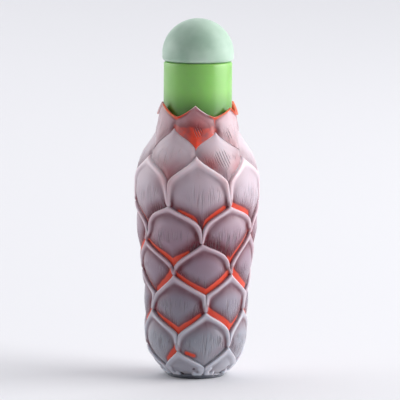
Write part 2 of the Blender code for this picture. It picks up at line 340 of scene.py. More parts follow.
# Each dash: azimuth, height, half its length, half its width, tilt.
RED_DASHES = {6: ((-7.2, 0.0062, 0.0009, 0.00046, radians(-16)),)}
RED_FROM_SEAM = 0.0006
HALF_WIDTH = pi * LOWER_RADIUS / PETALS
hand = random.Random(5)
for row in range(2, 7):
    for meet in range(3, 10):
        if (meet + row) % 2 == 0:
            left, right = hand.uniform(0.3, 0.9), hand.uniform(0.3, 0.9)
            deep = hand.uniform(0.0011, 0.0016)
            RED_FACETS[row] += ((meet - left, 0.6 * deep, meet, deep), (meet, deep, meet + right, 0.6 * deep))
print("red facets:", sum(len(facets) for facets in RED_FACETS.values()))


def dash_reach(row, azimuth, height):
    """How far inside a short red dash a point lies. A dash stands alone, clear of the rims."""
    reach = np.full(height.shape, -FAR)
    for middle, at, half_length, half_width, tilt in RED_DASHES.get(row, ()):
        across = np.radians((azimuth - middle + 180) % 360 - 180) * body_radius(height)
        up = height - at
        run = across * cos(tilt) + up * sin(tilt)
        rise = up * cos(tilt) - across * sin(tilt)
        reach = np.maximum(reach, half_width - np.hypot(np.maximum(np.abs(run) - half_length, 0.0), rise))
    return reach


def red_reach(row, along, below):
    """How far inside the row's red facets a point lies, in metres; outside them it is negative."""
    reach = np.full(below.shape, -FAR)
    for start, start_width, end, end_width in RED_FACETS.get(row, ()):
        lap = 2 * PETALS
        middle = (start + end) / 2
        here = (along - middle + PETALS) % lap - PETALS + middle
        part = np.clip((here - start) / (end - start), 0.0, 1.0)
        past = np.maximum(np.maximum(start - here, here - end), 0.0) * HALF_WIDTH
        reach = np.maximum(reach, start_width + (end_width - start_width) * part - np.hypot(below, past))
    return reach


# %% [markdown]
# ## The collar's red edge
# The collar is cut off at a slant, right through the coat, so the red shows there as a line. It is
# widest in the valleys, it is gone on two pale stretches, and it runs a little way down one seam. Under the
# middle petal the coat was ground thin over a whole patch. Its reach is kept close to the limit between
# red and coat, so that the noise in the finish makes it hazy, and only its lower point is plain red.

# %% The collar's red edge
COLLAR_RED = 0.00022
COLLAR_RED_GAIN = 0.00050
# Middle of each pale stretch, and half its length, in half petals.
PALE_TIPS = {0.25: 0.25, 8.9: 0.9}
PALE_FADE = 0.5
PALE_LOSS = 0.00055
PATCH_HAZE = 0.00001
PATCH_POINT = 0.00016
# Where the seam starts, in half petals, then how long and how wide its red is.
RED_SEAMS = {1: (0.0016, 0.00024)}
SOFT_PATCH = 0.4


def collar_width(along):
    """How wide the red line on the collar is: widest in the valleys, gone where the edge is pale."""
    at_tip = 1 - np.abs((along + 1) % 2 - 1)
    width = COLLAR_RED + COLLAR_RED_GAIN * (1 - at_tip) ** 3
    for middle, half_length in PALE_TIPS.items():
        near = np.abs((along - middle + PETALS) % (2 * PETALS) - PETALS)
        width = width - PALE_LOSS * smooth((half_length - near) / PALE_FADE + 1)
    return width


def collar_red(along, height, edge, seam):
    """How far inside the red of the collar's edge, or of the seam that it runs down, a point lies."""
    reach = collar_width(along) - edge
    for meet, (length, width) in RED_SEAMS.items():
        near = np.abs((along - meet + PETALS) % (2 * PETALS) - PETALS) < 0.5
        _, start = outline(0, np.array([float(meet)]))
        fallen = (start - height) / length
        reach = np.where(near, np.maximum(reach, width * np.clip(1.2 - fallen, -1.0, 1.0) - seam), reach)
    return reach


def red_patch(reach, along):
    """The patch under the collar: hazy and uneven, plain red only at its lower point."""
    off = np.abs((along + PETALS) % (2 * PETALS) - PETALS)
    return np.minimum(SOFT_PATCH * reach, PATCH_HAZE + PATCH_POINT * smooth(1.3 - 4 * off))


collar_line = collar_width(np.arange(2.0 * PETALS)).clip(0.0) * 1000
print("the collar's red line is", collar_line.min().round(2), "to", collar_line.max().round(2), "mm wide")

# %% [markdown]
# ## Rims and their curled ends
# A rim is a bead that the carver leaves standing along a petal's edge: steep outside, round on its crest
# and softer inside. It is widest at the tip and slims down the seam. In the bottom row the two rims at a
# seam part and curl into their petals like small hooks, with drilled holes beside them. A rim is worked
# out as a share of its full height here, from 0 to 1, and the relief below raises it.

# %% Rims and their curled ends
RIM_WIDTH = 0.00155
CREST_AT = 0.00040
CREST_FLAT = 0.3
TIP_GAIN = 0.12
SEAM_LOSS = 0.36
SEAM_LEAD = 0.0012
# Each hook: its side of the seam, how far off it, its height and its radius; each pit the same.
HOOKS = ((-1, 0.00155, 0.0020, 0.00098), (1, 0.00172, 0.0019, 0.00095))
HOOK_FROM, HOOK_TO = 130, 318
HOOK_STEPS = 12
HOOK_WIDTH = 0.00070
PITS = ((-1, 0.00245, 0.0026, 0.00040), (1, 0.0031, 0.0013, 0.00042))


def bead(inside):
    """Share of the rim's height at a distance inside the petal's edge: a round crest, steeper outside."""
    outer = np.sqrt(np.maximum(1 - (1 - np.clip(inside / CREST_AT, 0.0, 1.0)) ** 2, 0.0))
    across = np.clip((inside - CREST_AT) / (RIM_WIDTH - CREST_AT), 0.0, 1.0)
    inner = (1 - CREST_FLAT) * (1 - smooth(across)) + CREST_FLAT * np.sqrt(1 - across**2)
    return np.where(inside < CREST_AT, outer, inner)


def rim_share(row, along, height):
    """How wide the rim is at a point: full at the tip, slim at the lower end of the seam."""
    meet = 2 * np.round((along - (row + 1) % 2) / 2) + (row + 1) % 2
    _, seam_top = outline(row, meet)
    _, seam_end = lower_line(row, meet)
    fallen = (seam_top + SEAM_LEAD - height) / (seam_top - seam_end + SEAM_LEAD)
    beside = smooth(1.4 - 2 * np.abs(along - meet))
    tip = smooth(2.6 * np.abs(along - meet) - 1.6)
    return 1 + TIP_GAIN * tip - SEAM_LOSS * smooth(fallen) * beside


def hook_lines():
    """The curled ends of the bottom row's rims: arcs on both sides of each seam."""
    azimuths, _ = petal_nodes(LAST_ROW)
    turn = np.radians(np.linspace(HOOK_FROM, HOOK_TO, HOOK_STEPS))
    lines = []
    for seam in azimuths[:-1:2]:
        for side, offset, height, radius in HOOKS:
            across = (offset + radius * np.cos(turn)) / body_radius(height)
            lines.append((seam + side * np.degrees(across), height + radius * np.sin(turn)))
    return lines


def pits(azimuth, height):
    """How deep a point lies in the small drilled holes beside the curled ends, from 0 to 1."""
    azimuths, _ = petal_nodes(LAST_ROW)
    deep = np.zeros(height.shape)
    for seam in azimuths[:-1:2]:
        for side, offset, at, radius in PITS:
            off = (azimuth - seam + 180) % 360 - 180
            across = np.radians(off) * body_radius(height) - side * offset
            deep = np.maximum(deep, 1 - (across**2 + (height - at) ** 2) / radius**2)
    return deep


print("half way across, a rim keeps", bead(np.array([RIM_WIDTH / 2])).round(2), "of its height")

# %% [markdown]
# ## The relief
# From the edge inwards a petal has a steep outer wall, the round crest of its rim, and a softly
# swelling field. The field slopes down to the rims of the row below, in a crisp facet where the red
# shows and in a soft hollow elsewhere. The two rows under the neck have no rim, only a thin edge. The
# function returns how far the surface lies from the crests, with the distances the colours will need.

# %% The relief
CARVING_DEPTH = 0.0009
SEAM_DEPTH = 0.00055
RIM_RISE = 0.00056
PLAIN_EDGE = 0.0003
PILLOW_RISE = 0.00056
PILLOW_FROM_RIM = 0.0030
PILLOW_FROM_CUT = 0.0036
LEDGE_WIDTH = 0.0013
SOFT_LEDGE = 0.75
LOW_RIM_RISE = 0.00046
FOOT_DIP, FOOT_DIP_TO = 0.0003, 0.0032
FACET_FADE = 0.0004
RIM_END, RIM_END_FADE = 0.0016, 0.0010
PLAIN_RIM = 0.35
PIT_DEPTH = 0.5 * RIM_RISE


def relief(row, along, azimuth, height):
    """The carved surface's distance from the crests, and the distances that the colours follow."""
    edge = distance_to(azimuth, height, [outline(row, FINE)])
    seam = distance_to(azimuth, height, seams(row))
    below = distance_to(azimuth, height, [lower_line(row, FINE)])
    inside = rounded_distance(azimuth, height, [outline(row, FINE), *seams(row)])
    if ROWS[row][3]:
        inside = inside / (ROWS[row][3] * rim_share(row, along, height))
    reach = red_reach(row, along, below)
    if row > 0:
        reach = np.maximum(np.minimum(reach, seam - RED_FROM_SEAM), dash_reach(row, azimuth, height))
    faceted = smooth(reach / FACET_FADE + 0.5)
    if row == 0:
        reach = np.maximum(red_patch(reach, along), collar_red(along, height, edge, seam))

    swell = 1 - (1 - np.clip((inside - RIM_WIDTH) / PILLOW_FROM_RIM, 0.0, 1.0)) ** 2
    low = rounded_distance(azimuth, height, [lower_line(row, FINE)])
    pillow = PILLOW_RISE * swell * smooth(low / PILLOW_FROM_CUT)
    slope = np.clip(1 - below / LEDGE_WIDTH, 0.0, 1.0)
    ledge = (CARVING_DEPTH - RIM_RISE) * (faceted * slope + (1 - faceted) * SOFT_LEDGE * smooth(slope))
    # A tip stands on what lies outside it: low on the facets, high where the rims above run down to it.
    outside = CARVING_DEPTH
    if row > 0:
        above = distance_to(azimuth, height, seams(row - 1))
        outside = CARVING_DEPTH - (CARVING_DEPTH - SEAM_DEPTH) * bead(above + CREST_AT)
    share = smooth(edge / (edge + seam + TINY))
    outer = outside + (SEAM_DEPTH - outside) * share
    rim = bead(inside)
    if row == LAST_ROW:
        # The rims leave the seam low down and curl into the petal.
        rim = rim * smooth((height - RIM_END) / RIM_END_FADE)
        curl = distance_to(azimuth, height, hook_lines())
        rim = np.maximum(rim, np.sqrt(np.maximum(1 - (curl / HOOK_WIDTH) ** 2, 0.0)))
        inside = np.where(curl < HOOK_WIDTH, np.maximum(inside, CREST_AT), inside)
    if ROWS[row][3]:
        field = pillow - (LOW_RIM_RISE if row == LAST_ROW else RIM_RISE) - ledge
        if row == LAST_ROW:
            field = field - FOOT_DIP * smooth(1 - height / FOOT_DIP_TO)
        offset = np.where(inside < CREST_AT, -outer * (1 - rim), field * (1 - rim))
        if row == LAST_ROW:
            offset -= PIT_DEPTH * pits(azimuth, height)
    else:
        lip = pillow - RIM_RISE + PLAIN_EDGE * smooth(inside / RIM_WIDTH) - ledge
        rim = PLAIN_RIM * rim
        offset = np.where(inside < CREST_AT, lip - (outer - RIM_RISE) * (1 - rim / PLAIN_RIM), lip)
    marks = {"inside": inside, "below": below, "red": reach, "rim": rim}
    return offset, marks


sample, _ = relief(2, np.zeros(1), petal_nodes(2)[0][:1], np.array([0.76 * BODY_HEIGHT]))
print("the field of a front petal lies", (-sample * 1000).round(2), "mm under the crests")

# %% [markdown]
# ## Strokes and thinned patches
# Where the knife finished a field it left fine strokes, and on a few petals under the collar a patch of
# long, even ones. In other places the coat was ground thin and glows red. These are finishes and not
# shapes, but they belong to a petal, so each is worked out here as a number for every point and stored
# on the mesh, where the material reads it.

# %% Strokes and thinned patches
GRAIN_DRAWN = 0.35
# Each patch: azimuth, height as a share of the body, then half its width and half its height.
SCORED = {
    0: ((0.5, 0.905, 0.0010, 0.0011), (45.0, 0.893, 0.0008, 0.0010)),
    1: ((27.0, 0.812, 0.0020, 0.0019),),
}
# Each patch: azimuth, height as a share of the body, how far it reaches, and how much it glows.
BLUSHES = {
    0: ((-1.0, 0.91, 0.0038, 0.95), (45.0, 0.855, 0.0030, 0.4), (-52.0, 0.89, 0.003, 0.25)),
    1: ((13.0, 0.79, 0.0024, 0.75), (44.0, 0.78, 0.0026, 0.45), (-30.0, 0.755, 0.0036, 0.5)),
    2: ((-32.0, 0.74, 0.0024, 0.3), (31.0, 0.74, 0.0020, 0.2)),
}


def grain_across(row, azimuth, height, down):
    """Distance across a petal from its middle line, drawn together a little towards its lower point."""
    azimuths, _ = petal_nodes(row)
    tips = azimuths[[i for i in range(2 * PETALS) if (i + row) % 2 == 0]]
    off = (azimuth[..., None] - tips + 180) % 360 - 180
    nearest = np.take_along_axis(off, np.abs(off).argmin(-1)[..., None], -1)[..., 0]
    return np.radians(nearest) * body_radius(height) * (1 + GRAIN_DRAWN * down)


def scored(row, azimuth, height):
    """Where the long even knife strokes lie: in a few patches on the petals under the collar."""
    mask = np.zeros(height.shape)
    for middle, share, wide, high in SCORED.get(row, ()):
        across = np.radians((azimuth - middle + 180) % 360 - 180) * body_radius(height) / wide
        up = (height - share * BODY_HEIGHT) / high
        mask = np.maximum(mask, smooth(3 * (1 - across**2 - up**2)))
    return mask


def blush(row, azimuth, height):
    """How far the carver thinned the coat over whole patches, so that they glow red."""
    glow = np.zeros(np.shape(height))
    for middle, share, reach, strength in BLUSHES.get(row, ()):
        across = np.radians((azimuth - middle + 180) % 360 - 180) * body_radius(height)
        square = (across**2 + (height - share * BODY_HEIGHT) ** 2) / reach**2
        glow = np.maximum(glow, strength * np.exp(-square))
    return glow


print("scored patches:", sum(map(len, SCORED.values())), "thinned patches:", sum(map(len, BLUSHES.values())))

# %% [markdown]
# ## Rings and columns of points
# The petals' mesh is a sleeve: columns of points run down the bottle, denser at tips and meeting points,
# and rings of points run round it. The rings follow the petals' edges up and down, so the crisp edges
# fall along the mesh and no edge is stepped.

# %% Rings and columns of points
COLUMNS_PER_HALF = 28
RIM_RINGS = 9
FIELD_RINGS = 8
LEDGE_RINGS = 7
MOST_SLANT = 3.5
SLANT_REACH = 0.03
MOST_OF_ROOM = 0.42
RIM_REACH, LEDGE_REACH = 1.1 * RIM_WIDTH, 1.15 * LEDGE_WIDTH
RIM_CROWDING = 1.25
LAST_GAP, LAST_GAP_SHARE = 0.00004, 0.02
CREST_DROP = 0.00013

ALONG = round_bottle(dense_ends(COLUMNS_PER_HALF))
print("columns:", len(ALONG))


def slant(line, row, along):
    """How much longer a line is than its run round the bottle, on the steeper side of each column."""
    azimuth, height = line(row, along)
    slopes = []
    for step in (-SLANT_REACH, SLANT_REACH):
        azimuth_beside, height_beside = line(row, along + step)
        run = np.radians(azimuth_beside - azimuth) * body_radius(height)
        slopes.append(np.abs((height_beside - height) / run))
    return np.minimum(np.hypot(1.0, np.maximum(*slopes)), MOST_SLANT)


def petal_rings(row):
    """A row's rings: azimuth, height, radius and the marks for the colours, each as rings by columns."""
    azimuth, top = outline(row, ALONG)
    low_azimuth, bottom = lower_line(row, ALONG)
    room = top - bottom
    rim = np.minimum(RIM_REACH * slant(outline, row, ALONG), MOST_OF_ROOM * room)
    ledge = np.minimum(LEDGE_REACH * slant(lower_line, row, ALONG), MOST_OF_ROOM * room)
    drops = [rim * (i / RIM_RINGS) ** RIM_CROWDING for i in range(RIM_RINGS)]
    drops += [rim + (room - rim - ledge) * i / FIELD_RINGS for i in range(FIELD_RINGS)]
    drops += [room - ledge * (1 - i / LEDGE_RINGS) for i in range(LEDGE_RINGS)]
    drops.append(room - np.minimum(LAST_GAP, LAST_GAP_SHARE * room))
    drop = np.array(drops)
    height = top - drop
    azimuth = azimuth + (low_azimuth - azimuth) * drop / room
    along = np.broadcast_to(ALONG, height.shape)
    offset, marks = relief(row, along, azimuth, height)
    marks["down"] = drop / room
    marks["grain"] = grain_across(row, azimuth, height, marks["down"])
    marks["blush"] = blush(row, azimuth, height)
    marks["scored"] = scored(row, azimuth, height)
    marks["pit"] = pits(azimuth, height) if row == LAST_ROW else np.zeros(height.shape)
    return azimuth, height, body_radius(height) + offset - CREST_DROP, marks


# %% [markdown]
# ## Neck, mouth, hollow and foot
# The rest of the bottle is turned. The neck rises from a groove behind the collar, the lip is rounded,
# and a drilled bore opens into the chamber, whose wall follows the outside. The collar's edge is cut at
# a slant through the red layer, so the red shows there as a zigzag line.

# %% Neck, mouth, hollow and foot
NECK_RISE = LIP_HEIGHT - BODY_HEIGHT
NECK_PLAIN = NECK_RISE * 5 / 6
NECK_STEPS = 7
LIP_ROUND = 0.00045
MOUTH_RADIUS = 0.00375
BORE_LENGTH = 0.0125
WALL = 0.00277
FLOOR = 0.0045
CHAMBER_SHOULDER = 0.0128
CHAMBER_ROUND = 0.0075
COLLAR_CHAMFER = 0.0002
EDGE_STAND, EDGE_STAND_GAIN = 0.35, 0.3
GROOVE, GROOVE_GAIN = 0.3, 0.75
CUT_SLOPE = 0.00012
CUT_BEND = 1.6
CUT_STEPS = 4
NECK_TURN = 0.0001
FOOT_STEP = 0.0004
FOOT_EDGE = 0.0003
ROUND_STEPS = 6
CHAMBER_STEPS = 14


def chamber_profile():
    """(radius, height) points up the inside of the bottle, from the middle of its floor to the mouth."""
    bore_end = LIP_HEIGHT - BORE_LENGTH
    points = []
    # The first ring lies a little off the axis, so that it has a radius.
    for i in range(CHAMBER_STEPS, 0, -1):
        height = FLOOR + (bore_end - FLOOR) * (1 + cos(pi * (i - 0.1) / CHAMBER_STEPS)) / 2
        room = body_radius(height) - CARVING_DEPTH - WALL
        widened = smooth((bore_end - height) / CHAMBER_SHOULDER)
        rounded = (1 - (1 - min((height - FLOOR) / CHAMBER_ROUND, 1.0)) ** 2) ** 0.5
        points.append((float((MOUTH_RADIUS + (room - MOUTH_RADIUS) * widened) * rounded), height))
    points.append((MOUTH_RADIUS, bore_end))
    points.append((MOUTH_RADIUS, LIP_HEIGHT - LIP_ROUND / 2))
    for i in range(1, ROUND_STEPS + 1):
        turn = pi / 2 * i / ROUND_STEPS
        around = LIP_ROUND / 2
        points.append((MOUTH_RADIUS + around * (1 - cos(turn)), LIP_HEIGHT - around * (1 - sin(turn))))
    return points


def neck_profile():
    """(radius, height) points down the outside of the neck, from the lip."""
    points = []
    for i in range(ROUND_STEPS + 1):
        turn = pi / 2 * (1 - i / ROUND_STEPS)
        points.append((NECK_RADIUS - LIP_ROUND * (1 - cos(turn)), LIP_HEIGHT - LIP_ROUND * (1 - sin(turn))))
    for i in range(1, NECK_STEPS + 1):
        points.append((NECK_RADIUS, LIP_HEIGHT - LIP_ROUND - (NECK_PLAIN - LIP_ROUND) * i / NECK_STEPS))
    return points


def collar_rings():
    """Rings from behind the collar, over its slanting red edge, to the petals' thin tips."""
    azimuth, top = outline(0, ALONG)
    half = np.floor(ALONG).astype(int)
    part = ALONG - half
    towards_tip = np.where(half % 2 == 0, 1 - part, part)
    stand = COLLAR_WALL * (EDGE_STAND + EDGE_STAND_GAIN * towards_tip)
    groove = COLLAR_WALL * (GROOVE + GROOVE_GAIN * towards_tip)
    edge = top - COLLAR_CHAMFER
    outer = body_radius(edge) - COLLAR_CHAMFER
    level = np.ones(len(ALONG))
    # Two rings on the neck, close above the groove, keep its shading smooth down to the bend.
    rings = [(azimuth, top - groove + i * NECK_TURN, level * NECK_RADIUS) for i in (4, 1)]
    rings.append((azimuth, top - groove, level * (NECK_RADIUS + CUT_SLOPE / 2)))
    inner = NECK_RADIUS + stand
    for i in range(1, CUT_STEPS + 1):
        across = i / CUT_STEPS
        sunk = groove * (1 - across) ** CUT_BEND
        rings.append((azimuth, top - sunk, NECK_RADIUS + CUT_SLOPE + (stand - CUT_SLOPE) * across))
    for i in range(1, CUT_STEPS + 1):
        across = i / CUT_STEPS
        fall = COLLAR_CHAMFER * (1 - (1 - across**2) ** 0.5)
        rings.append((azimuth, top - fall, inner + (outer - inner) * across))
    return rings


print("inside of the bottle:", len(chamber_profile()), "rings, collar:", len(collar_rings()), "rings")

# %% [markdown]
# ## Building a sleeve
# A sleeve turns rings of points into one closed mesh. Its faces come from the grid's own numbering, its
# two ends are closed with one face each, and its texture map is the same grid laid flat, so a finish
# baked to it later isn't stretched. The marks are stored on the points, where the materials read them.

# %% Building a sleeve
UV_MARGIN = 0.02


def flat_map(mesh, columns, rings, lengths):
    """A texture map that lays the sleeve flat, with the end faces in the margin."""
    layer = mesh.uv_layers.new(name="OFBake")
    run = np.concatenate([[0.0], np.cumsum(lengths)])
    level = UV_MARGIN + (1 - 2 * UV_MARGIN) * run / run[-1]
    vertex = np.zeros(len(mesh.loops), dtype=np.int32)
    mesh.loops.foreach_get("vertex_index", vertex)
    column = vertex % columns
    ring = vertex // columns
    sides = (rings - 1) * columns * 4
    across = column.astype(float)
    last = np.repeat((column[:sides].reshape(-1, 4).max(1) == columns - 1), 4)
    across[:sides][last & (column[:sides] == 0)] = columns
    uv = np.column_stack([across / columns, level[ring]])
    turn = 2 * pi * column[sides:] / columns
    middle = np.where(ring[sides:] == 0, UV_MARGIN / 2, 1 - UV_MARGIN / 2)
    reach = UV_MARGIN / 4
    uv[sides:] = np.column_stack([0.5 + reach * np.cos(turn), middle + reach * np.sin(turn)])
    layer.data.foreach_set("uv", uv.astype(np.float32).ravel())


def sleeve(name, rings, marks, finishes, materials):
    """One closed piece from rings of (azimuth, height, radius), listed from inside out or top down."""
    azimuth, height, radius = (np.array([ring[i] for ring in rings]) for i in range(3))
    count, columns = azimuth.shape
    angle = np.radians(azimuth)
    points = np.stack([radius * np.sin(angle), -radius * np.cos(angle), height], -1)
    index = np.arange(count * columns).reshape(count, columns)
    beside = np.roll(index, -1, axis=1)
    quads = np.stack([index[:-1], index[1:], beside[1:], beside[:-1]], -1).reshape(-1, 4)
    faces = quads.tolist() + [index[0].tolist(), index[-1][::-1].tolist()]
    mesh = bpy.data.meshes.new(name)
    mesh.from_pydata(points.reshape(-1, 3).tolist(), [], faces)
    for material in materials:
        mesh.materials.append(material)
    slots = np.concatenate([np.repeat(finishes, columns), [finishes[0], finishes[-1]]]).astype(np.int32)
    mesh.polygons.foreach_set("material_index", slots)
    for label, values in marks.items():
        stored = mesh.attributes.new(label, "FLOAT", "POINT")
        stored.data.foreach_set("value", np.asarray(values, np.float32).ravel())
    lengths = np.linalg.norm(np.diff(points, axis=0), axis=-1).mean(1)
    flat_map(mesh, columns, count, lengths)
    mesh.shade_smooth()
    mesh.update()
    made = bpy.data.objects.new(name, mesh)
    bpy.context.scene.collection.objects.link(made)
    print(name, "has", len(quads) * 2 + 2 * (columns - 2), "triangles")
    return made


# %% [markdown]
# ## Shader maths
# A finish is easier to read as a formula than as a drawing of nodes. This class wraps one output of a
# node, so that plus, minus and times between two of them, or with a number, add the Math node for it.
# Everything else comes from one method that adds any node, its settings first and then its inputs.

# %% Shader maths
class Wire:
    """An output of a shader node that can be used in Python expressions."""

    def __init__(self, tree, socket=None):
        self.tree = tree
        self.socket = socket

    def node(self, kind, inputs, output=0, **settings):
        """Any node: its settings are set first, then its inputs' values or links."""
        made = self.tree.nodes.new(kind)
        for name, setting in settings.items():
            if name == "stops":
                self.set_stops(made.color_ramp, setting)
            else:
                setattr(made, name, setting)
        for name, value in inputs.items():
            if isinstance(value, Wire):
                value.feed(made.inputs[name])
            else:
                made.inputs[name].default_value = value
        return Wire(self.tree, made.outputs[output])

    def feed(self, socket):
        """Links this output to an input."""
        self.tree.links.new(self.socket, socket)

    def set_stops(self, ramp, stops):
        """Places a ramp's stops, given as (position, colour)."""
        while len(ramp.elements) < len(stops):
            ramp.elements.new(1.0)
        for element, (position, colour) in zip(ramp.elements, stops):
            element.position = position
            element.color = (*colour, 1.0)

    def math(self, operation, *others):
        """Any operation of the Math node on this output."""
        return self.node("ShaderNodeMath", dict(enumerate([self, *others])), operation=operation)

    def __add__(self, other):
        return self.math("ADD", other)

    def __mul__(self, other):
        return self.math("MULTIPLY", other)

    def __sub__(self, other):
        return self.math("SUBTRACT", other)

    def __rsub__(self, other):
        return self.node("ShaderNodeMath", {0: other, 1: self}, operation="SUBTRACT")

    __radd__ = __add__
    __rmul__ = __mul__

    def step(self, low, high):
        """A soft step from 0 at low to 1 at high."""
        inputs = {"Value": self, "From Min": low, "From Max": high}
        return self.node("ShaderNodeMapRange", inputs, interpolation_type="SMOOTHSTEP")

    def mark(self, label):
        """A number stored on the mesh's points."""
        return self.node("ShaderNodeAttribute", {}, output="Fac", attribute_name=label)

    def place(self):
        """The point on the piece itself, in metres."""
        return self.node("ShaderNodeTexCoord", {}, output="Object")

    def noise(self, vector, scale, detail):
        """Soft noise from 0 to 1."""
        return self.node("ShaderNodeTexNoise", {"Vector": vector, "Scale": scale, "Detail": detail})

    def mix(self, first, second, factor):
        """From the first colour to the second. The Mix node's colours are its inputs 6 and 7."""
        ends = [end if isinstance(end, Wire) else (*end, 1.0) for end in (first, second)]
        inputs = {0: factor, 6: ends[0], 7: ends[1]}
        return self.node("ShaderNodeMix", inputs, output=2, data_type="RGBA")


print("a wire can", ", ".join(name for name in vars(Wire) if not name.startswith("_")))

# %% [markdown]
# ## Milky glass
# All three glasses are milky: light enters them, spreads a little way and comes out tinted. Transmission
# would show the chamber, which the satin surface hides, so the shader's subsurface scattering is used,
# and one helper sets it up with how far the light reaches. Colours are written as a screen shows them.

# %% Milky glass
def glass(name, reach, tint, roughness=0.4, specular=0.5):
    """A material with its constant settings, its shader, and a wire to start from."""
    material = bpy.data.materials.new(name)
    material.use_nodes = True
    shader = material.node_tree.nodes["Principled BSDF"]
    shader.inputs["Roughness"].default_value = roughness
    shader.inputs["Subsurface Weight"].default_value = 1.0
    shader.inputs["Subsurface Scale"].default_value = reach
    shader.inputs["Subsurface Radius"].default_value = tint
    shader.inputs["Specular IOR Level"].default_value = specular
    return material, shader, Wire(material.node_tree)


def shown(red, green, blue):
    """A colour as a screen shows it, 0 to 255, in the linear values that a shader takes."""
    scaled = np.array((red, green, blue)) / 255
    linear = np.where(scaled <= 0.04045, scaled / 12.92, ((scaled + 0.055) / 1.055) ** 2.4)
    return tuple(float(value) for value in linear)


print("middle grey on a screen is", round(shown(128, 128, 128)[0], 3), "in a shader")

# %% [markdown]
# ## Colours of the coat
# The coat is milky glass over red, so its colour depends on how much of it is left: the thick rims are
# palest and the fields are mauve grey. It also cools from dusky rose at the collar to slate lower down.
# So the fields and the rims each have a ramp of colours that runs up the body. Near the foot both ramps
# are painted paler, as painted light bounced up from the table, and the foot's rounded edge is painted
# dark, as painted shade under the bottle.

# %% Colours of the coat
COAT_FIELD = (
    # The two darkest stops, on the foot's rounded edge, are painted shade; the pale stops near the foot are
    # painted light bounced up from the table.
    (0.00, shown(74, 78, 90)),
    (0.012, shown(84, 88, 100)),
    (0.020, shown(174, 176, 186)),
    (0.07, shown(166, 168, 178)),
    (0.16, shown(150, 150, 161)),
    (0.30, shown(144, 134, 148)),
    (0.50, shown(156, 126, 142)),
    (0.72, shown(196, 180, 190)),
    (0.88, shown(222, 206, 213)),
    (1.00, shown(200, 164, 171)),
)
COAT_RIM = (
    # The lowest stops are painted paler: painted light bounced up from the table onto the bottom row's rims.
    (0.00, shown(206, 208, 217)),
    (0.05, shown(186, 188, 198)),
    (0.20, shown(184, 182, 192)),
    (0.50, shown(188, 165, 176)),
    (0.64, shown(204, 184, 193)),
    (0.80, shown(228, 210, 216)),
    (1.00, shown(214, 178, 182)),
)
# The plum colour is partly the red under a thin coat and partly painted shade in the hollows.
PLUM_AND_SHADE = shown(104, 16, 40)
ROSE = shown(176, 62, 62)
MAROON = shown(120, 34, 40)
RED = shown(230, 78, 48)
# The colour of the knife strokes, also used as painted shade in the drilled pits.
STROKE_AND_PIT_SHADE = shown(80, 58, 68)
print("stops up the body:", len(COAT_FIELD), "for the fields,", len(COAT_RIM), "for the rims")

# %% [markdown]
# ## Overlay glass
# The fields turn plum where they dip towards a rim or a cut: partly the red under the thinner coat, and
# partly painted shade in these hollows. The thinned patches glow rose, and the facets are plain red with
# a maroon border. Only the red has a crisp edge, which a little noise makes uneven. A soft sheen stands
# for the fine etched surface.

# %% Overlay glass
MM = 1000
coat, shader, wire = glass("Overlay glass", reach=0.0009, tint=(1.0, 0.75, 0.7))
shader.inputs["Sheen Weight"].default_value = 0.4
shader.inputs["Sheen Roughness"].default_value = 0.4
place = wire.place()
level = wire.mark("level")
inside = wire.mark("inside") * MM
below = wire.mark("below") * MM
red = wire.mark("red") * MM
rim = wire.mark("rim")
cloud = wire.noise(place, 260.0, 3.0)

field_colour = wire.node("ShaderNodeValToRGB", {"Fac": level}, stops=COAT_FIELD)
rim_colour = wire.node("ShaderNodeValToRGB", {"Fac": level}, stops=COAT_RIM)
near_rim = 1 - inside.step(1.1, 3.2)
near_cut = 1 - below.step(0.7, 3.4)
near_rim = near_rim * (1 - level.step(0.55, 0.8) * 0.85)
near_cut = near_cut * (1 - level.step(0.5, 0.84) * 0.7)
# Plum near rims and cuts: partly the red under the thinner coat, partly painted shade in the hollows.
plum_and_shade = (near_rim * 0.75 + near_cut) * (cloud.step(0.25, 0.7) * 0.5 + 0.7)
plum_and_shade = plum_and_shade * (level.step(0.05, 0.3) * 0.85 + 0.15)
colour = wire.mix(field_colour, PLUM_AND_SHADE, plum_and_shade.math("MINIMUM", 1.0))
colour = wire.mix(colour, rim_colour, rim.step(0.2, 0.9))
colour = wire.mix(colour, ROSE, wire.mark("blush"))
ragged = red + (wire.noise(place, 900.0, 2.0) - 0.5) * 0.35
colour = wire.mix(colour, MAROON, ragged.step(-0.7, -0.05) * 0.6)
colour = wire.mix(colour, RED, ragged.step(-0.14, 0.2))
print(coat.name, "has", len(coat.node_tree.nodes), "nodes before its strokes")

# %% [markdown]
# ## Knife strokes and polish
# Short fine grooves run down the fields in patches, drawn together towards the point. Under the collar
# they are long and even, and run from the upper left to the lower right. They are finer than the mesh,
# so a darker line and a bump stand for them. Handling has polished the rims, and the fields keep the
# dull surface that the knife left.

# %% Knife strokes and polish
STROKE_PACE = 3600
SCORE_TURN = radians(25)
SCORE_PACE = 2 * pi / 0.00052
STROKE_DEPTH = 0.00032

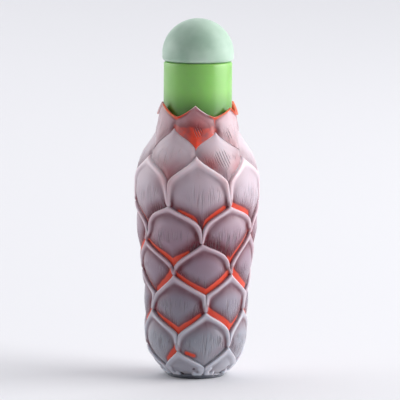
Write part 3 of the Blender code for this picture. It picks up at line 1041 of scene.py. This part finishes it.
down = wire.mark("down")
along_stroke = {"X": wire.mark("grain") * STROKE_PACE, "Y": down * 2.4, "Z": level * 9}
grooves = wire.noise(wire.node("ShaderNodeCombineXYZ", along_stroke), 1.0, 1.0).step(0.5, 0.72)
worked = inside.step(1.6, 2.6) * down.step(0.3, 0.55) * wire.noise(place, 200.0, 1.0).step(0.35, 0.55)
worked = worked * (1 - level.step(0.5, 0.68) * 0.5) * level.step(0.06, 0.14) * (1 - red.step(-0.4, -0.1))
across_score = {0: place, 1: (cos(SCORE_TURN) * SCORE_PACE, 0.0, sin(SCORE_TURN) * SCORE_PACE)}
across = wire.node("ShaderNodeVectorMath", across_score, output="Value", operation="DOT_PRODUCT")
across = across + wire.noise(place, 500.0, 1.0) * 2.4
scores = across.math("SINE").step(0.1, 0.9) * wire.mark("scored")
strokes = (grooves * worked * 0.85).math("MAXIMUM", scores)
colour = wire.mix(colour, STROKE_AND_PIT_SHADE, strokes * 0.6)
# The drilled pits are painted dark: painted shade in the holes.
colour = wire.mix(colour, STROKE_AND_PIT_SHADE, wire.mark("pit").step(0.0, 0.8) * 0.85)
colour.feed(shader.inputs["Base Color"])
polish = 0.46 - rim.step(0.3, 0.9) * 0.1
polish.feed(shader.inputs["Roughness"])
bump = wire.node("ShaderNodeBump", {"Height": 1 - strokes, "Strength": 1.0, "Distance": STROKE_DEPTH})
bump.feed(shader.inputs["Normal"])
print(coat.name, "has", len(coat.node_tree.nodes), "nodes in all")

# %% [markdown]
# ## Green glass
# The core is lime green and lets light far into it, which the shader's subsurface scattering stands for.
# It is painted darker towards the collar, as painted shade where the neck stands behind the collar.

# %% Green glass
LIME_TINT = (0.6, 1.0, 0.35)
core, shader, wire = glass("Lime green glass", reach=0.004, tint=LIME_TINT, roughness=0.3, specular=0.6)
level = wire.mark("level")
cloud = wire.noise(wire.place(), 140.0, 2.0)
green = wire.mix(shown(130, 189, 92), shown(146, 199, 108), cloud)
# Darker green at the foot of the neck: painted shade behind the collar.
green = wire.mix(shown(92, 146, 62), green, level.step(0.97, 1.06))
green.feed(shader.inputs["Base Color"])
print(core.name, "has", len(core.node_tree.nodes), "nodes")

# %% [markdown]
# ## The bottle
# All rings are put together in one closed sleeve: up the inside, over the lip, down the neck, over the
# collar's red edge, down the eight rows of petals and under the foot.

# %% The bottle
COAT, CORE = 0, 1
MARKS = ("inside", "below", "red", "rim", "down", "grain", "blush", "scored", "pit")
rings, finishes = [], []
marks = {label: [] for label in MARKS}


def lay(azimuth, height, radius, finish, **known):
    """Adds a ring with its finish. A mark that isn't given is far from every edge."""
    flat = np.ones(len(ALONG))
    rings.append((azimuth, flat * height, flat * radius))
    finishes.append(finish)
    for label in MARKS:
        default = FAR if label in ("inside", "below") else 0.0
        default = -FAR if label == "red" else default
        marks[label].append(flat * known.get(label, default))


base_azimuth, _ = outline(0, ALONG)
for radius, height in chamber_profile() + neck_profile():
    lay(base_azimuth, height, radius, CORE)
for azimuth, height, radius in collar_rings():
    lay(azimuth, height, radius, COAT, red=2 * collar_width(ALONG))
for row in range(len(ROWS)):
    azimuths, heights, radii, row_marks = petal_rings(row)
    for i in range(len(heights)):
        if row == 0 and i == 0:
            continue
        lay(azimuths[i], heights[i], radii[i], COAT, **{label: row_marks[label][i] for label in MARKS})
foot_azimuth, _ = lower_line(LAST_ROW, ALONG)
under = body_radius(FOOT_LINE) - FOOT_STEP
bevel = FOOT_RADIUS + FOOT_EDGE / 2
foot_profile = (
    (under, FOOT_LINE - CUT_SLOPE),
    ((under + bevel) / 2, FOOT_EDGE * 1.6),
    (bevel, FOOT_EDGE),
    (FOOT_RADIUS + FOOT_EDGE / 5, FOOT_EDGE / 4),
    (FOOT_RADIUS, 0.0),
)
for radius, height in foot_profile:
    lay(foot_azimuth, height, radius, COAT)
marks["level"] = [ring[1] / BODY_HEIGHT for ring in rings]
bottle = sleeve("carved_bottle", rings, marks, finishes[:-1], [coat, core])
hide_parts("bottle")
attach(bottle, "root")

# %% [markdown]
# ## The stopper
# The dome is a separate piece of celadon glass with a short plug. It is turned on a lathe, so it is a
# sleeve of level rings here too, finer than the model's. The model keeps 0.3 mm of air under the dome, and
# here it comes down almost to the lip, as it would stand.

# %% The stopper
SEAT_GAP = 0.0001
SKIRT_HEIGHT = 0.0017
SKIRT_ROUND = 0.0009
PLUG_LENGTH = 0.006
PLUG_CHAMFER = 0.0003
PLUG_CLEARANCE = 0.0003
DOME_RADIUS = float(dome_corner[0])
DOME_STEPS = 26
STOPPER_SIDES = 120

celadon, shader, wire = glass("Celadon glass", reach=0.003, tint=(0.9, 1.0, 0.9), specular=0.3)
cloud = wire.noise(wire.place(), 180.0, 3.0)
pale = wire.mix(shown(162, 188, 170), shown(181, 203, 187), cloud.step(0.3, 0.7))
pale.feed(shader.inputs["Base Color"])


def stopper_profile():
    """(radius, height) points from the top of the dome down to the middle of the plug's end."""
    seat = LIP_HEIGHT + SEAT_GAP
    spring = seat + SKIRT_HEIGHT
    points = []
    # The first ring lies a quarter of a step off the axis, so that it has a radius.
    for i in range(DOME_STEPS + 1):
        turn = pi / 2 * (1 - (i + 0.25) / (DOME_STEPS + 0.25))
        points.append((DOME_RADIUS * cos(turn), spring + (DOME_TOP - spring) * sin(turn)))
    for i in range(ROUND_STEPS + 1):
        turn = pi / 2 * i / ROUND_STEPS
        points.append((DOME_RADIUS - SKIRT_ROUND * (1 - cos(turn)), seat + SKIRT_ROUND * (1 - sin(turn))))
    plug = MOUTH_RADIUS - PLUG_CLEARANCE
    points.append((plug, seat))
    points.append((plug, seat - PLUG_LENGTH + PLUG_CHAMFER))
    points.append((plug - PLUG_CHAMFER, seat - PLUG_LENGTH))
    return points


turns = np.linspace(0, 360, STOPPER_SIDES, endpoint=False)
level_ring = np.ones(STOPPER_SIDES)
stopper_rings = [(turns, height * level_ring, radius * level_ring) for radius, height in stopper_profile()]
stopper = sleeve("celadon_stopper", stopper_rings, {}, [0] * (len(stopper_rings) - 1), [celadon])
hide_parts("stopper")
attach(stopper, "root")

# %% [markdown]
# ## The table
# The bottle stands on a white table that runs on out of the picture, so there is no edge to see. One
# large flat face is enough for it.

# %% The table
floor_mesh = bpy.data.meshes.new("Floor")
REACH = 6.0
corners = [(-REACH, -REACH, 0.0), (REACH, -REACH, 0.0), (REACH, REACH, 0.0), (-REACH, REACH, 0.0)]
floor_mesh.from_pydata(corners, [], [(0, 1, 2, 3)])
floor = bpy.data.objects.new("Floor", floor_mesh)
bpy.context.scene.collection.objects.link(floor)
table = bpy.data.materials.new("White table")
table.use_nodes = True
table_shader = table.node_tree.nodes["Principled BSDF"]
table_shader.inputs["Base Color"].default_value = (*shown(232, 231, 234), 1.0)
table_shader.inputs["Roughness"].default_value = 0.8
floor_mesh.materials.append(table)
print("the table reaches", REACH, "m to each side")

# %% [markdown]
# ## Light
# A large soft light stands to the right and a weaker one to the left, so both sides of the bottle are
# bright and its front is darker. A third one lights the table behind it. The sky around them is dim
# towards the camera, which keeps the front of the bottle from going flat.

# %% Light
world = bpy.data.worlds.new("Studio")
world.use_nodes = True
backdrop = world.node_tree.nodes["Background"]
sky = Wire(world.node_tree)
around = sky.node("ShaderNodeTexCoord", {}, output="Generated")
heading = sky.node("ShaderNodeSeparateXYZ", {"Vector": around}, output="Y")
shade = sky.mix((0.17, 0.17, 0.18), (0.93, 0.95, 1.0), heading.step(-0.9, 0.3))
shade.feed(backdrop.inputs["Color"])
backdrop.inputs["Strength"].default_value = 0.76
bpy.context.scene.world = world


def softbox(name, place, target, width, height, power):
    """A rectangular light that faces a point."""
    light = bpy.data.lights.new(name, "AREA")
    light.shape = "RECTANGLE"
    light.size = width
    light.size_y = height
    light.energy = power
    lamp = bpy.data.objects.new(name, light)
    lamp.location = place
    lamp.rotation_euler = (Vector(target) - Vector(place)).to_track_quat("-Z", "Y").to_euler()
    bpy.context.scene.collection.objects.link(lamp)
    print(name, "light:", width, "by", height, "m,", power, "W")


AIM = (0.0, 0.0, 0.04)
softbox("Key", (1.15, -0.06, 0.42), AIM, 1.2, 1.0, 20.6)
softbox("Fill", (-1.5, 0.55, 0.30), AIM, 1.8, 1.2, 13.0)
softbox("Overhead", (0.0, 1.9, 1.5), (0.0, 1.2, 0.0), 3.0, 2.4, 15.0)

# %% [markdown]
# The carved glass has to stay inside the solids that it stands for.
